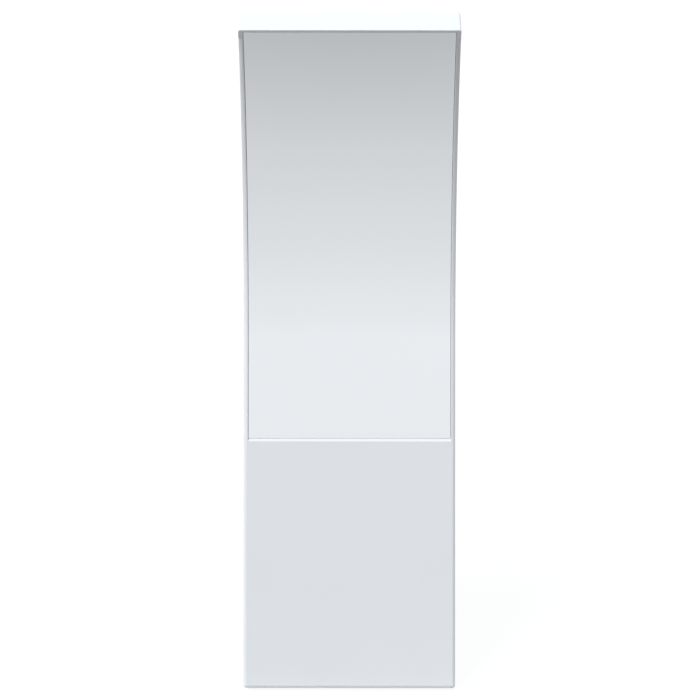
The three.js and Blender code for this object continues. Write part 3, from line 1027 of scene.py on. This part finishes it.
# how bright a reflection is: of the floor by share of the way out to the horizon, of the sky by height
floorMirrored = [(0.40, 0.557), (0.62, 0.728), (0.78, 0.792), (1.0, 0.838)]
skyMirrored = [(0.0, 0.838), (0.17, 0.893), (0.24, 0.904), (0.29, 0.925), (0.33, 0.942), (0.6, 1.0)]


def grey(value):
    return (value, value, value)


def greyRamp(material, factor, stops):
    return rampOf(material, factor, [(at, grey(value)) for at, value in stops])


def mixBy(material, factor, first, second):
    mix = addNode(material, "ShaderNodeMixShader")
    joinNodes(material, factor, mix.inputs[0])
    joinNodes(material, first, mix.inputs[1])
    joinNodes(material, second, mix.inputs[2])
    return mix.outputs[0]


def showByRay(material, lighting, mirrored, shown):  # what lights, what is mirrored, what is seen
    rays = addNode(material, "ShaderNodeLightPath")
    seen = addNode(material, "ShaderNodeMath", operation="MAXIMUM")
    joinNodes(material, rays.outputs["Is Camera Ray"], seen.inputs[0])
    joinNodes(material, rays.outputs["Is Transmission Ray"], seen.inputs[1])
    unseen = mixBy(material, rays.outputs["Is Glossy Ray"], lighting, mirrored)
    return mixBy(material, seen.outputs[0], unseen, shown)


def shareOfWayOut(material, point):  # 0 at the middle of the floor, 1 at the horizon
    length = addNode(material, "ShaderNodeVectorMath", operation="LENGTH")
    joinNodes(material, point, length.inputs[0])
    further = addNode(material, "ShaderNodeMath", operation="ADD")
    further.inputs[1].default_value = studio["halfWayOut"]
    joinNodes(material, length.outputs["Value"], further.inputs[0])
    share = addNode(material, "ShaderNodeMath", operation="DIVIDE")
    joinNodes(material, length.outputs["Value"], share.inputs[0])
    joinNodes(material, further.outputs[0], share.inputs[1])
    return share.outputs[0]


def distanceAround(material, point, half):  # from a box about the origin, with half its size given
    folded = addNode(material, "ShaderNodeVectorMath", operation="ABSOLUTE")
    joinNodes(material, point, folded.inputs[0])
    beyond = addNode(material, "ShaderNodeVectorMath", operation="SUBTRACT")
    beyond.inputs[1].default_value = half
    joinNodes(material, folded.outputs[0], beyond.inputs[0])
    outside = addNode(material, "ShaderNodeVectorMath", operation="MAXIMUM")
    joinNodes(material, beyond.outputs[0], outside.inputs[0])
    length = addNode(material, "ShaderNodeVectorMath", operation="LENGTH")
    joinNodes(material, outside.outputs[0], length.inputs[0])
    return length.outputs["Value"]


def makeFloorMaterial():
    material = bpy.data.materials.new("studio_floor")
    material.use_nodes = True
    nodes = material.node_tree.nodes
    nodes.remove(nodes["Principled BSDF"])
    place = addNode(material, "ShaderNodeTexCoord").outputs["Object"]
    shadow = addNode(material, "ShaderNodeBsdfDiffuse")
    shadow.inputs["Color"].default_value = (*grey(studio["floorShade"]), 1)
    glow = addNode(material, "ShaderNodeEmission")
    glow.inputs["Strength"].default_value = studio["floorGlow"]
    shown = addNode(material, "ShaderNodeAddShader")
    joinNodes(material, shadow.outputs[0], shown.inputs[0])
    joinNodes(material, glow.outputs[0], shown.inputs[1])
    bounce = addNode(material, "ShaderNodeBsdfDiffuse")
    away = distanceAround(material, place, (cadHigh.x, cadHigh.y, studio["matHeight"]))
    inner, outer = studio["matEdge"]
    pale = greyRamp(material, away, [(inner, studio["matBounce"]), (outer, studio["floorBounce"])])
    joinNodes(material, pale, bounce.inputs["Color"])
    mirrored = addNode(material, "ShaderNodeEmission")
    run = greyRamp(material, shareOfWayOut(material, place), floorMirrored)
    joinNodes(material, run, mirrored.inputs["Color"])
    whole = showByRay(material, bounce.outputs[0], mirrored.outputs[0], shown.outputs[0])
    joinNodes(material, whole, nodes["Material Output"].inputs["Surface"])
    return material


def makeFloor():
    startFresh()
    bpy.ops.mesh.primitive_plane_add(size=studio["floorSize"], location=(0, 0, cadLow.z))
    floor = bpy.context.object
    floor.name = "studioFloor"
    floor.data.materials.append(makeFloorMaterial())


def makeWorld():
    world = bpy.data.worlds.new("studio")
    bpy.context.scene.world = world
    world.use_nodes = True
    nodes = world.node_tree.nodes
    light = nodes["Background"]
    light.inputs["Color"].default_value = (*studio["skyTint"], 1)
    light.inputs["Strength"].default_value = studio["skyLight"]
    shown = addNode(world, "ShaderNodeBackground")
    shown.inputs["Color"].default_value = (1, 1, 1, 1)
    shown.inputs["Strength"].default_value = studio["skyShown"]
    mirrored = addNode(world, "ShaderNodeBackground")
    place = addNode(world, "ShaderNodeTexCoord")
    parts = addNode(world, "ShaderNodeSeparateXYZ")
    joinNodes(world, place.outputs["Generated"], parts.inputs[0])
    joinNodes(world, greyRamp(world, parts.outputs["Z"], skyMirrored), mirrored.inputs["Color"])
    whole = showByRay(world, light.outputs[0], mirrored.outputs[0], shown.outputs[0])
    joinNodes(world, whole, nodes["World Output"].inputs["Surface"])


def addLamp(name, lamp):
    startFresh()
    bpy.ops.object.light_add(type="SUN", location=(0, 0, lampRise))
    sun = bpy.context.object
    sun.name = name + "Light"
    sun.data.energy = lamp["strength"]
    sun.data.angle = math.radians(lamp["spread"])
    sun.visible_glossy = False
    sun.rotation_euler = (math.radians(90 - lamp["height"]), 0, -math.radians(lamp["turn"]))


makeFloor()
makeWorld()
for name, lamp in lamps.items():
    addLamp(name, lamp)
print("studio set")

view = {
    "lens": 113.22,       # millimetres, as the sensor
    "sensor": 36,
    "pitch": 20,          # degrees, looking down
    "roll": 0.05,
    "side": 0.0008,       # place of the camera, to the right
    "ahead": 3.4128,
    "height": 1.7779,
}


def addCamera():
    startFresh()
    bpy.ops.object.camera_add(location=(view["side"], -view["ahead"], view["height"]))
    camera = bpy.context.object
    camera.rotation_euler = (math.radians(90 - view["pitch"]), 0, 0)
    camera.rotation_euler.rotate_axis("Z", math.radians(view["roll"]))
    camera.data.lens = view["lens"]
    camera.data.sensor_width = view["sensor"]
    bpy.context.scene.camera = camera


addCamera()
print("camera set")
